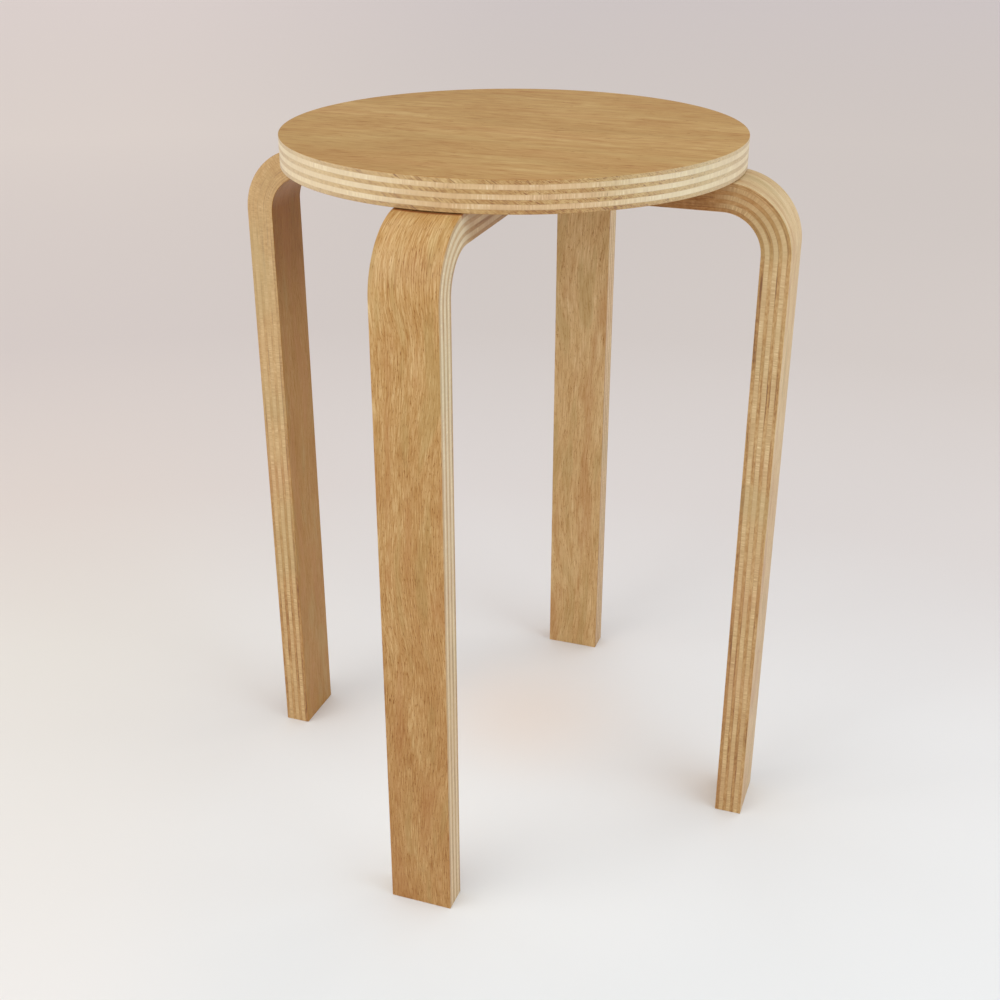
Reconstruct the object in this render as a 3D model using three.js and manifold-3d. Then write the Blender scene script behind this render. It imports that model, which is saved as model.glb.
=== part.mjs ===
// A stacking stool: a round plywood seat on four bent plywood legs, held by countersunk bolts.
// Lengths are in millimetres and +Z is up. The origin is on the floor, in the middle of the four
// feet, with one leg along each of +X (right), +Y (back), -X (left) and -Y (front).
import * as THREE from "three";
import { mergeVertices } from "three/addons/utils/BufferGeometryUtils.js";
import Module from "manifold-3d";

const wasm = await Module();
wasm.setup();

// Seat: seven veneers, dark outside, cut to a disc
const SEAT_HEIGHT = 450; // floor to the top face
const SEAT_RADIUS = 139.5;
const SEAT_VENEER = 2.56;
const SEAT_EDGE_RADIUS = 0.3; // rounding of its two sharp edges
const VENEER_COUNT = 7;

// Leg: seven veneers glued in a bent press, then sawn to width
const STACKING_GAP = 16.4; // edge of the seat to a post's inner face: a stool above passes here
const LEG_WIDTH = 39.4;
const LEG_VENEER = 2.5;
const LEG_EDGE_RADIUS = 0.3;
const BEND_INNER_RADIUS = 23.9;
const ARM_END_REACH = 30; // stool axis to an arm's inner end
const SEAT_JOINT_GAP = 0.2; // lacquer and air between an arm and the seat

// Bolt: M6, 90 degree countersunk head with a hexagon socket
const BOLT_RADIUS = 3;
const BOLT_LENGTH = 30; // head face to tip
const BOLT_TIP_CHAMFER = 0.8;
const HEAD_RADIUS = 6;
const HEAD_RIM = 0.3; // straight rim above the cone
const HEAD_RECESS = 0.3; // how far the head lies below the arm's face
const SOCKET_ACROSS_FLATS = 4;
const SOCKET_DEPTH = 2.4;
const BOLT_END_MARGIN = 25; // arm's inner end to the inner bolt
const BOLT_BEND_MARGIN = 27; // outer bolt to the start of the bend

// Threaded insert: a sleeve let into the seat from below
const INSERT_WALL = 1.5;
const INSERT_LENGTH = 12;
const INSERT_CHAMFER = 0.5;
const INSERT_RECESS = 0.3; // how far it lies inside the seat's lower face
const BORE_SPARE = 1.6; // depth left beyond the insert

// Fits and cuts
const FIT_CLEARANCE = 0.3; // each side, between a piece and the hole that it sits in
const CUT_OVERRUN = 1; // how far a cutter reaches past the face that it opens

// Facets
const SEAT_SEGMENTS = 96;
const EDGE_SEGMENTS = 2;
const BEND_CURVE_SEGMENTS = 8; // each makes two facets of the quarter bend
const ROUND_SEGMENTS = 24;
const HEXAGON_SIDES = 6;

// Worked out from the sizes above
const QUARTER_TURN = Math.PI / 2;
const seatThickness = VENEER_COUNT * SEAT_VENEER;
const seatUnderside = SEAT_HEIGHT - seatThickness;
const legThickness = VENEER_COUNT * LEG_VENEER;
const postInnerReach = SEAT_RADIUS + STACKING_GAP;
const postOuterReach = postInnerReach + legThickness;
const armTop = seatUnderside - SEAT_JOINT_GAP;
const armUnderside = armTop - legThickness;
const bendOuterRadius = BEND_INNER_RADIUS + legThickness;
const bendCentreReach = postOuterReach - bendOuterRadius;
const bendCentreHeight = armTop - bendOuterRadius;
const holeRadius = BOLT_RADIUS + FIT_CLEARANCE;
const countersinkRadius = HEAD_RADIUS + HEAD_RIM + HEAD_RECESS + FIT_CLEARANCE;
const headFace = armUnderside + HEAD_RECESS;
const insertBoreRadius = BOLT_RADIUS + FIT_CLEARANCE;
const insertRadius = insertBoreRadius + INSERT_WALL;
const insertFoot = seatUnderside + INSERT_RECESS;
const seatBoreRadius = insertRadius + FIT_CLEARANCE;
const seatBoreDepth = INSERT_RECESS + INSERT_LENGTH + BORE_SPARE;

const LEG_NAMES = ["right", "back", "left", "front"];
const BOLTS = [
  { name: "inner", reach: ARM_END_REACH + BOLT_END_MARGIN },
  { name: "outer", reach: bendCentreReach - BOLT_BEND_MARGIN },
];

const MATERIALS = {
  seat: new THREE.MeshStandardMaterial({ color: "#c49a62", roughness: 0.5, metalness: 0 }),
  leg: new THREE.MeshStandardMaterial({ color: "#c6a06b", roughness: 0.55, metalness: 0 }),
  bolt: new THREE.MeshStandardMaterial({ color: "#3a3b3d", roughness: 0.4, metalness: 1 }),
  insert: new THREE.MeshStandardMaterial({ color: "#b9bcc0", roughness: 0.35, metalness: 1 }),
};

/** Turns a closed geometry into a solid that can be cut. */
function solidFrom(geometry) {
  const bare = geometry.clone();
  bare.deleteAttribute("normal");
  bare.deleteAttribute("uv");
  const merged = mergeVertices(bare);
  const corners = Array.from(merged.index.array);
  const kept = [];
  for (let i = 0; i < corners.length; i += 3) {
    const [a, b, c] = corners.slice(i, i + 3);
    if (a !== b && b !== c && c !== a) kept.push(a, b, c);
  }
  const vertProperties = new Float32Array(merged.attributes.position.array);
  const mesh = new wasm.Mesh({ numProp: 3, vertProperties, triVerts: new Uint32Array(kept) });
  return new wasm.Manifold(mesh);
}

/** Turns a solid back into a geometry. */
function geometryFrom(solid) {
  const mesh = solid.getMesh();
  const geometry = new THREE.BufferGeometry();
  geometry.setAttribute("position", new THREE.BufferAttribute(mesh.vertProperties, 3));
  geometry.setIndex(new THREE.BufferAttribute(mesh.triVerts, 1));
  geometry.computeVertexNormals();
  return geometry;
}

/** Cuts each of the cutter geometries out of the body geometry. */
function cut(body, cutters) {
  const solid = cutters.reduce((left, cutter) => left.subtract(solidFrom(cutter)), solidFrom(body));
  return geometryFrom(solid);
}

/** Revolves a profile of [radius, height] pairs, listed from the bottom up, about the Z axis. */
function revolve(profile, segments) {
  const points = profile.map(([radius, height]) => new THREE.Vector2(radius, height));
  return new THREE.LatheGeometry(points, segments).rotateX(QUARTER_TURN);
}

/** Points of a quarter round about a centre, from one angle to the next quarter. */
function quarterRound(centreRadius, centreHeight, radius, startAngle) {
  return Array.from({ length: EDGE_SEGMENTS + 1 }, (_, step) => {
    const angle = startAngle + (QUARTER_TURN * step) / EDGE_SEGMENTS;
    return [centreRadius + radius * Math.cos(angle), centreHeight + radius * Math.sin(angle)];
  });
}

/** The seat: a disc with rounded edges and a blind bore over each bolt. */
function seatGeometry() {
  const flatRadius = SEAT_RADIUS - SEAT_EDGE_RADIUS;
  const lowCentre = seatUnderside + SEAT_EDGE_RADIUS;
  const highCentre = SEAT_HEIGHT - SEAT_EDGE_RADIUS;
  const disc = revolve(
    [
      [0, seatUnderside],
      ...quarterRound(flatRadius, lowCentre, SEAT_EDGE_RADIUS, -QUARTER_TURN),
      ...quarterRound(flatRadius, highCentre, SEAT_EDGE_RADIUS, 0),
      [0, SEAT_HEIGHT],
    ],
    SEAT_SEGMENTS,
  );
  const bores = LEG_NAMES.flatMap((_, quarter) =>
    BOLTS.map(({ reach }) =>
      revolve(
        [
          [0, seatUnderside - CUT_OVERRUN],
          [seatBoreRadius, seatUnderside - CUT_OVERRUN],
          [seatBoreRadius, seatUnderside + seatBoreDepth],
          [0, seatUnderside + seatBoreDepth],
        ],
        ROUND_SEGMENTS,
      )
        .translate(reach, 0, 0)
        .rotateZ(quarter * QUARTER_TURN),
    ),
  );
  return cut(disc, bores);
}

/** Side view of a leg, with the distance from the stool axis across and the height up. */
function legOutline() {
  const outline = new THREE.Shape();
  outline.moveTo(postInnerReach + LEG_EDGE_RADIUS, 0);
  outline.lineTo(postOuterReach - LEG_EDGE_RADIUS, 0);
  outline.lineTo(postOuterReach, LEG_EDGE_RADIUS);
  outline.absarc(bendCentreReach, bendCentreHeight, bendOuterRadius, 0, QUARTER_TURN, false);
  outline.lineTo(ARM_END_REACH + LEG_EDGE_RADIUS, armTop);
  outline.lineTo(ARM_END_REACH, armTop - LEG_EDGE_RADIUS);
  outline.lineTo(ARM_END_REACH, armUnderside + LEG_EDGE_RADIUS);
  outline.lineTo(ARM_END_REACH + LEG_EDGE_RADIUS, armUnderside);
  outline.absarc(bendCentreReach, bendCentreHeight, BEND_INNER_RADIUS, QUARTER_TURN, 0, true);
  outline.lineTo(postInnerReach, LEG_EDGE_RADIUS);
  outline.closePath();
  return outline;
}

/** One bent leg along +X: the outline sawn to width, its edges eased and its bolt holes cut. */
function legGeometry() {
  const blank = new THREE.ExtrudeGeometry(legOutline(), {
    depth: LEG_WIDTH - 2 * LEG_EDGE_RADIUS,
    bevelThickness: LEG_EDGE_RADIUS,
    bevelSize: LEG_EDGE_RADIUS,
    bevelOffset: -LEG_EDGE_RADIUS,
    bevelSegments: EDGE_SEGMENTS,
    curveSegments: BEND_CURVE_SEGMENTS,
  })
    .rotateX(QUARTER_TURN)
    .translate(0, LEG_WIDTH / 2 - LEG_EDGE_RADIUS, 0);
  const holes = BOLTS.map(({ reach }) =>
    revolve(
      [
        [0, armUnderside - CUT_OVERRUN],
        [countersinkRadius + CUT_OVERRUN, armUnderside - CUT_OVERRUN],
        [holeRadius, armUnderside + countersinkRadius - holeRadius],
        [holeRadius, armTop + CUT_OVERRUN],
        [0, armTop + CUT_OVERRUN],
      ],
      ROUND_SEGMENTS,
    ).translate(reach, 0, 0),
  );
  return cut(blank, holes);
}

/** A countersunk bolt on the Z axis, its head face down, with the socket cut into it. */
function boltGeometry() {
  const tip = headFace + BOLT_LENGTH;
  const body = revolve(
    [
      [0, headFace],
      [HEAD_RADIUS, headFace],
      [HEAD_RADIUS, headFace + HEAD_RIM],
      [BOLT_RADIUS, headFace + HEAD_RIM + HEAD_RADIUS - BOLT_RADIUS],
      [BOLT_RADIUS, tip - BOLT_TIP_CHAMFER],
      [BOLT_RADIUS - BOLT_TIP_CHAMFER, tip],
      [0, tip],
    ],
    ROUND_SEGMENTS,
  );
  const socketRadius = SOCKET_ACROSS_FLATS / 2 / Math.cos(Math.PI / HEXAGON_SIDES);
  const socket = revolve(
    [
      [0, headFace - CUT_OVERRUN],
      [socketRadius, headFace - CUT_OVERRUN],
      [socketRadius, headFace + SOCKET_DEPTH],
      [0, headFace + SOCKET_DEPTH],
    ],
    HEXAGON_SIDES,
  );
  return cut(body, [socket]);
}

/** A threaded insert on the Z axis: a sleeve, open at both ends, chamfered outside. */
function insertGeometry() {
  const top = insertFoot + INSERT_LENGTH;
  return revolve(
    [
      [insertBoreRadius, insertFoot],
      [insertRadius - INSERT_CHAMFER, insertFoot],
      [insertRadius, insertFoot + INSERT_CHAMFER],
      [insertRadius, top - INSERT_CHAMFER],
      [insertRadius - INSERT_CHAMFER, top],
      [insertBoreRadius, top],
      [insertBoreRadius, insertFoot],
    ],
    ROUND_SEGMENTS,
  );
}

/** A named mesh, set at a distance from the axis of the group that holds it. */
function piece(name, geometry, material, reach) {
  const mesh = new THREE.Mesh(geometry, material);
  mesh.name = name;
  mesh.position.x = reach;
  return mesh;
}

/** The whole stool: the seat, and four alike quarters of leg, bolts and inserts. */
function stool() {
  const whole = new THREE.Group();
  const leg = legGeometry();
  const bolt = boltGeometry();
  const insert = insertGeometry();
  whole.add(piece("seat_panel", seatGeometry(), MATERIALS.seat, 0));
  LEG_NAMES.forEach((side, quarter) => {
    const group = new THREE.Group();
    group.rotation.z = quarter * QUARTER_TURN;
    group.add(piece(`leg_${side}`, leg, MATERIALS.leg, 0));
    BOLTS.forEach(({ name, reach }) => {
      group.add(piece(`bolt_${side}_${name}`, bolt, MATERIALS.bolt, reach));
      group.add(piece(`insert_${side}_${name}`, insert, MATERIALS.insert, reach));
    });
    whole.add(group);
  });
  return whole;
}

export default stool();
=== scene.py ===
"""The looks of a stacking stool: a round plywood seat on four bent plywood legs, bolted from below."""

import logging
import math
from collections.abc import Iterable, Mapping, Sequence
from dataclasses import dataclass
from enum import Enum
from functools import cached_property, partial
from itertools import product
from typing import Any, TypeAlias

import bpy
import numpy as np
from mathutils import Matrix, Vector
from numpy.typing import NDArray


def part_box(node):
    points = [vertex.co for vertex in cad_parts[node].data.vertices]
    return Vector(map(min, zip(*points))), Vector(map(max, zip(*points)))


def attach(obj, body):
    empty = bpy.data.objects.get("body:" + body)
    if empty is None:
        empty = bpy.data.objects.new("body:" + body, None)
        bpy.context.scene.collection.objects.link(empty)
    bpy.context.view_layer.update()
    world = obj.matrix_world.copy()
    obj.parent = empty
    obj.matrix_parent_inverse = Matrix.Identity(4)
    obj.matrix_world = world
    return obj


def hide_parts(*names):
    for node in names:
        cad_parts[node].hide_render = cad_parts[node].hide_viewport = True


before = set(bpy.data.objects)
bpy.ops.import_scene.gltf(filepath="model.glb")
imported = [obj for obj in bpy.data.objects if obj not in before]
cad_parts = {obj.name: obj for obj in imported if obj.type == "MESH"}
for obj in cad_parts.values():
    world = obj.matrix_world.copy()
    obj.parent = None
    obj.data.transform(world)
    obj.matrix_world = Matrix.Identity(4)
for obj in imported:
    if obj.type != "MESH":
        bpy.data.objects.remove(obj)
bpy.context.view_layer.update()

Points: TypeAlias = NDArray[np.float64]
Tint: TypeAlias = tuple[float, float, float, float]
Operand: TypeAlias = "Signal | float | Sequence[float]"

log = logging.getLogger("stool")

BODY = "root"
GRAIN = "grain"
BLEACH = "bleach"
FLITCH = "flitch"
QUARTER_TURN = math.pi / 2
MILLIMETRES = 1000.0
PLIES = 7
WOOD_CREASE = 40
STEEL_CREASE = 32


def tint(code: str) -> Tint:
    """Turns a colour as it looks on a screen into the linear one that a shader takes, by the sRGB curve.

    Args:
        code: the colour as a hash sign and six hexadecimal digits.

    Returns:
        Red, green, blue and alpha.
    """
    shown = np.array([int(code[i : i + 2], 16) for i in (1, 3, 5)]) / 255
    linear = np.where(shown <= 0.04045, shown / 12.92, ((shown + 0.055) / 1.055) ** 2.4)
    return (*(float(part) for part in linear), 1.0)


class Side(Enum):
    """The four sides of the stool, each with its number of quarter turns from +X."""

    RIGHT = 0
    BACK = 1
    LEFT = 2
    FRONT = 3

    @property
    def label(self) -> str:
        """The side's name as the nodes have it."""
        return self.name.lower()


class BoltPlace(Enum):
    """The two bolts of an arm."""

    INNER = "inner"
    OUTER = "outer"


# Shader maths


class Signal:
    """A number or a vector on its way through a material's nodes, which plain operators combine."""

    def __init__(self, shader: "Shader", socket: bpy.types.NodeSocket) -> None:
        """Wraps an output socket.

        Args:
            shader: the material that the socket belongs to.
            socket: the output that the signal comes from.
        """
        self.shader = shader
        self.socket = socket

    def __add__(self, other: Operand) -> "Signal":
        """This plus other."""
        return self.shader.maths("ADD", self, other)

    def __radd__(self, other: Operand) -> "Signal":
        """Other plus this."""
        return self.shader.maths("ADD", other, self)

    def __sub__(self, other: Operand) -> "Signal":
        """This less other."""
        return self.shader.maths("SUBTRACT", self, other)

    def __rsub__(self, other: Operand) -> "Signal":
        """Other less this."""
        return self.shader.maths("SUBTRACT", other, self)

    def __mul__(self, other: Operand) -> "Signal":
        """This times other."""
        return self.shader.maths("MULTIPLY", self, other)

    def __rmul__(self, other: Operand) -> "Signal":
        """Other times this."""
        return self.shader.maths("MULTIPLY", other, self)

    def __truediv__(self, other: Operand) -> "Signal":
        """This divided by other."""
        return self.shader.maths("DIVIDE", self, other)

    def __rtruediv__(self, other: Operand) -> "Signal":
        """Other divided by this."""
        return self.shader.maths("DIVIDE", other, self)


class Shader:
    """A new material, and the few ways in which its nodes are made."""

    def __init__(self, name: str) -> None:
        """Makes an empty material.

        Args:
            name: the material's name.
        """
        self.material = bpy.data.materials.new(name)
        self.material.use_nodes = True
        self.tree = self.material.node_tree
        self.tree.nodes.clear()

    @classmethod
    def of(cls, tree: bpy.types.NodeTree) -> "Shader":
        """Writes into a tree that is already there, such as the world's, which is emptied first.

        Args:
            tree: the tree.

        Returns:
            A shader without a material of its own.
        """
        shader = cls.__new__(cls)
        shader.tree = tree
        tree.nodes.clear()
        return shader

    def node(
        self,
        kind: str,
        settings: Mapping[str, Any] | None = None,
        inputs: Mapping[str | int, Any] | None = None,
        output: str | int | None = 0,
    ) -> "Signal | None":
        """Makes a node.

        Args:
            kind: the node's type.
            settings: the node's own settings, set first; stops are a colour ramp's places and colours.
            inputs: values or signals for its sockets, by name or number.
            output: the socket that is returned, or None for a node that has none.

        Returns:
            The chosen output.
        """
        made = self.tree.nodes.new(kind)
        for name, value in (settings or {}).items():
            if name == "stops":
                self._set_stops(made.color_ramp, value)
            else:
                setattr(made, name, value)
        for name, value in (inputs or {}).items():
            if isinstance(value, Signal):
                self.tree.links.new(value.socket, made.inputs[name])
            else:
                made.inputs[name].default_value = value
        return None if output is None else Signal(self, made.outputs[output])

    @staticmethod
    def _set_stops(ramp: bpy.types.ColorRamp, stops: Sequence[tuple[float, Tint]]) -> None:
        """Gives a colour ramp its stops.

        Args:
            ramp: the ramp to change, which has two stops.
            stops: places from 0 to 1, rising, each with its colour.
        """
        while len(ramp.elements) < len(stops):
            ramp.elements.new(1.0)
        for element, (place, colour) in zip(ramp.elements, stops, strict=True):
            element.position = place
            element.color = colour

    def maths(self, operation: str, first: Operand, second: "Operand | None" = None) -> Signal:
        """Makes a Math node, or a Vector Math node where a vector takes part.

        Args:
            operation: the node's operation.
            first: its first value.
            second: its second value, if it takes one.

        Returns:
            The result.
        """
        values = [value for value in (first, second) if value is not None]
        vector = any(isinstance(value, Signal) and value.socket.type == "VECTOR" for value in values)
        if not vector:
            return self.node("ShaderNodeMath", {"operation": operation}, dict(enumerate(values)))
        spread = [(value,) * 3 if isinstance(value, (int, float)) else value for value in values]
        return self.node("ShaderNodeVectorMath", {"operation": operation}, dict(enumerate(spread)))

    def split(self, vector: Signal) -> tuple[Signal, Signal, Signal]:
        """The three parts of a vector."""
        parts = self.node("ShaderNodeSeparateXYZ", inputs={0: vector}).socket.node.outputs
        return Signal(self, parts[0]), Signal(self, parts[1]), Signal(self, parts[2])

    def join(self, x: Operand, y: Operand, z: Operand) -> Signal:
        """A vector of three parts."""
        return self.node("ShaderNodeCombineXYZ", inputs={0: x, 1: y, 2: z})

    def noise(
        self, place: Signal, per_mm: Sequence[float], detail: float = 2.0, roughness: float = 0.5
    ) -> Signal:
        """Noise from -1 to 1 about 0, mostly within a half.

        Args:
            place: where it is read, in millimetres.
            per_mm: its cells to a millimetre along each axis.
            detail: how many finer layers it holds.
            roughness: how strong the finer layers are.

        Returns:
            The noise.
        """
        inputs = {"Vector": place * tuple(per_mm), "Scale": 1.0, "Detail": detail, "Roughness": roughness}
        return self.node("ShaderNodeTexNoise", {"noise_dimensions": "3D"}, inputs) * 2.0 - 1.0

    def band(self, value: Signal, low: float, high: float) -> Signal:
        """Rises smoothly from 0 to 1 while a value goes from low to high."""
        settings = {"interpolation_type": "SMOOTHSTEP", "clamp": True}
        return self.node("ShaderNodeMapRange", settings, {"Value": value, 1: low, 2: high})

    def attribute(self, name: str, output: str) -> Signal:
        """A mesh attribute, as one of the Attribute node's outputs gives it."""
        return self.node("ShaderNodeAttribute", {"attribute_name": name}, output=output)

    def length(self, vector: Signal) -> Signal:
        """The length of a vector."""
        return self.node("ShaderNodeVectorMath", {"operation": "LENGTH"}, {0: vector}, "Value")

    def ramp(self, value: Signal, stops: Sequence[tuple[float, Tint]]) -> Signal:
        """The colour that a ramp has at a value."""
        return self.node("ShaderNodeValToRGB", {"stops": stops}, {0: value})

    def scale(self, value: Signal, codes: Sequence[str]) -> Signal:
        """The colour that a value from 0 to 1 has on a scale of colours in even steps."""
        return self.ramp(value, [(step / (len(codes) - 1), tint(code)) for step, code in enumerate(codes)])

    def blend(self, share: Operand, under: Any, over: Any, how: str = "MIX") -> Signal:
        """Lays one colour over another.

        Args:
            share: how much of the upper colour shows, from 0 to 1.
            under: the lower colour.
            over: the upper colour.
            how: the Mix node's way of blending.

        Returns:
            The blended colour.
        """
        settings = {"data_type": "RGBA", "blend_type": how, "clamp_factor": True}
        return self.node("ShaderNodeMix", settings, {0: share, 6: under, 7: over}, 2)

    def bump(self, height: Signal, distance: float, strength: float) -> Signal:
        """A normal that a height in units of a distance in metres turns."""
        inputs = {"Height": height, "Distance": distance, "Strength": strength}
        return self.node("ShaderNodeBump", inputs=inputs)

    def surface(self, **inputs: Any) -> bpy.types.Material:
        """Ends the material in a Principled shader.

        Args:
            inputs: values or signals for its sockets, with underscores for spaces.

        Returns:
            The finished material.
        """
        named = {name.replace("_", " ").replace("Ior", "IOR"): value for name, value in inputs.items()}
        self.end(self.node("ShaderNodeBsdfPrincipled", inputs=named), "ShaderNodeOutputMaterial")
        return self.material

    def end(self, last: Signal, kind: str) -> None:
        """Ends the tree in an output node of a kind."""
        self.node(kind, inputs={"Surface": last}, output=None)


# Finishes


@dataclass(frozen=True)
class Figure:
    """A layer of a surface's figure: noise that its pitch draws out into streaks, lines or clouds.

    The pitch is in cells to a millimetre along each axis, which in wood are along the fibres,
    across them and through the veneer. A band turns the noise into marks that start at its first
    value and are full at its second.
    """

    pitch: tuple[float, float, float]
    gain: float = 1.0
    detail: float = 2.0
    roughness: float = 0.5
    band: tuple[float, float] | None = None

    def at(self, place: Signal) -> Signal:
        """Works the figure out.

        Args:
            place: where, in millimetres.

        Returns:
            Its strength, up to the gain or, without a band, mostly within half the gain of 0.
        """
        strength = place.shader.noise(place, self.pitch, self.detail, self.roughness)
        if self.band is not None:
            strength = place.shader.band(strength, *self.band)
        return strength * self.gain


@dataclass(frozen=True)
class FaceGrain:
    """How the face veneer is figured: its mean tone and the layers that change it.

    Sway bends the fibres sideways by its gain in millimetres, and the layers whose names end in
    shown tell where another layer comes out.
    """

    level: float = 0.59
    sway: Figure = Figure((0.007, 0.014, 0.01), 14.0, 1.0)
    patch: Figure = Figure((0.02, 0.06, 0.01), 0.23)
    streak: Figure = Figure((0.03, 0.25, 0.3), 0.2, 3.0)
    streak_shown: Figure = Figure((0.02, 0.06, 0.02), 1.0, 1.0, band=(-0.3, 0.3))
    streak_floor: float = 0.5
    line: Figure = Figure((0.09, 1.7, 1.0), 0.74, 3.0, 0.6)
    pore: Figure = Figure((0.3, 2.1, 1.0), 0.56, 2.0, 0.6, (0.12, 0.5))
    fleck: Figure = Figure((0.2, 0.9, 1.0), 0.5, 2.0, 0.6, (0.18, 0.5))
    fleck_shown: Figure = Figure((0.04, 0.1, 0.02), 1.0, 1.0, band=(0.0, 0.3))
    hue: Figure = Figure((0.015, 0.08, 0.02), 1.4)
    hue_band: tuple[float, float] = (0.05, 0.45)
    hue_gain: float = 0.4


@dataclass(frozen=True)
class SawnEdge:
    """How the veneers look where the sheet is sawn through.

    Neighbouring veneers were cut from places that lie the offsets apart, in millimetres along
    and across the face's grain. A dark veneer has hatching, whose marks in the cut band are
    darker still, lines, patches and mottle, and a pale one has ticks and patches. Lifts are
    shares of the colour of opened fibres, first where the saw opened them least and then where
    they are wholly bleached, which also calms a dark veneer towards the bleached level.
    """

    dark_level: float = 0.59
    dark_offset: tuple[float, float] = (53.0, 37.0)
    hatch: Figure = Figure((0.08, 0.5, 1.3), 1.0, 2.0, 0.6)
    hatch_dive: float = 0.03
    hatch_gain: float = 0.24
    cut_band: tuple[float, float] = (0.1, 0.45)
    cut_gain: float = 0.3
    line: Figure = Figure((0.025, 0.3, 1.3), 0.55, band=(0.05, 0.5))
    patch: Figure = Figure((0.03, 0.03, 0.1), 0.42)
    mottle: Figure = Figure((0.4, 0.4, 0.6), 0.45, 3.0, 0.6)
    innermost_drop: float = 0.12
    pale_level: float = 0.6
    pale_offset: tuple[float, float] = (43.0, 29.0)
    bleached_level: float = 0.6
    tick: Figure = Figure((1.3, 0.25, 0.12), 0.85, 2.0, 0.6)
    tick_shown: Figure = Figure((0.05, 0.02, 0.3), 0.6, 1.0, band=(-0.3, 0.35))
    tick_floor: float = 0.4
    pale_patch: Figure = Figure((0.06, 0.02, 0.15), 0.35)
    bleach_calm: float = 0.4
    opened_lift: float = 0.06
    bleached_dark_lift: float = 0.32
    bleached_pale_lift: float = 0.45
    bleached_from: float = 0.5


@dataclass(frozen=True)
class VeneerTones:
    """Colours of the dark and the pale veneers, each from its darkest tone to its palest.

    Red and gold tint them where the wood is reddish or golden, seam is the glue lines' colour and
    opened that of fibres which the saw opened lengthwise.
    """

    dark: tuple[str, ...] = ("#7b4813", "#9f6c30", "#b98c50", "#cca670", "#e0c18d")
    pale: tuple[str, ...] = ("#a37d4f", "#c19c69", "#d4b482", "#ebd2a2")
    red: str = "#b57f48"
    gold: str = "#b09358"
    pale_red: str = "#d6a680"
    pale_red_gain: float = 0.2
    pale_gold: str = "#c9b384"
    pale_gold_gain: float = 0.4
    seam: str = "#8d6335"
    seam_band: tuple[float, float] = (0.02, 0.2)
    seam_gain: float = 0.28
    opened: str = "#f6f0d5"


class PlyPoint:
    """What the plywood's finish knows about a point of a piece, mostly as signals."""

    def __init__(self, shader: Shader, veneer: float, waver: Figure, arris: tuple[float, float]) -> None:
        """Finds the point's place in the sheet as it was before it was bent.

        The sine of half a turn for each veneer of depth is above 0 in the dark veneers, below 0
        in the pale ones and 0 at the glue lines.

        Args:
            shader: the material.
            veneer: thickness of a veneer, in millimetres.
            waver: how far the glue lines waver, in millimetres.
            arris: depths in millimetres between which a face's colour gives way to the sawn side's.
        """
        self.shader = shader
        self.veneer = veneer
        self.middle = PLIES * veneer / 2
        place = shader.attribute(GRAIN, "Vector") * MILLIMETRES
        self.along, self.across, self.depth = shader.split(place)
        plies = (self.depth + waver.at(place)) / veneer
        plies = shader.maths("MINIMUM", shader.maths("MAXIMUM", plies, 0.5), PLIES - 0.5)
        self.number = shader.maths("FLOOR", plies)
        self.wave = shader.maths("SINE", plies * math.pi)
        from_middle = shader.maths("ABSOLUTE", self.depth - self.middle)
        self.sawn = shader.band(from_middle, self.middle - arris[0], self.middle - arris[1])
        self.bleach = shader.attribute(BLEACH, "Fac")

    @cached_property
    def log(self) -> tuple[Signal, Signal]:
        """How pale and how dark the log of its face veneer was, each from 0 to 1."""
        flitch, larger = self.shader.attribute(FLITCH, "Fac"), partial(self.shader.maths, "MAXIMUM")
        return larger(flitch, 0.0), larger(flitch * -1.0, 0.0)

    @cached_property
    def spot(self) -> tuple[Signal, Signal]:
        """Its distance from the stool's axis and its height, in metres."""
        reach, side, height = self.shader.split(self.shader.node("ShaderNodeTexCoord", output="Object"))
        return self.shader.maths("SQRT", reach * reach + side * side), height


@dataclass(frozen=True)
class Rise:
    """A change that grows from nothing at one height to its gain at another, in metres."""

    gain: float
    start: float
    full: float

    def at(self, point: PlyPoint) -> Signal:
        """How much of the change shows at a point."""
        return point.shader.band(point.spot[1], self.start, self.full) * self.gain


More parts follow.
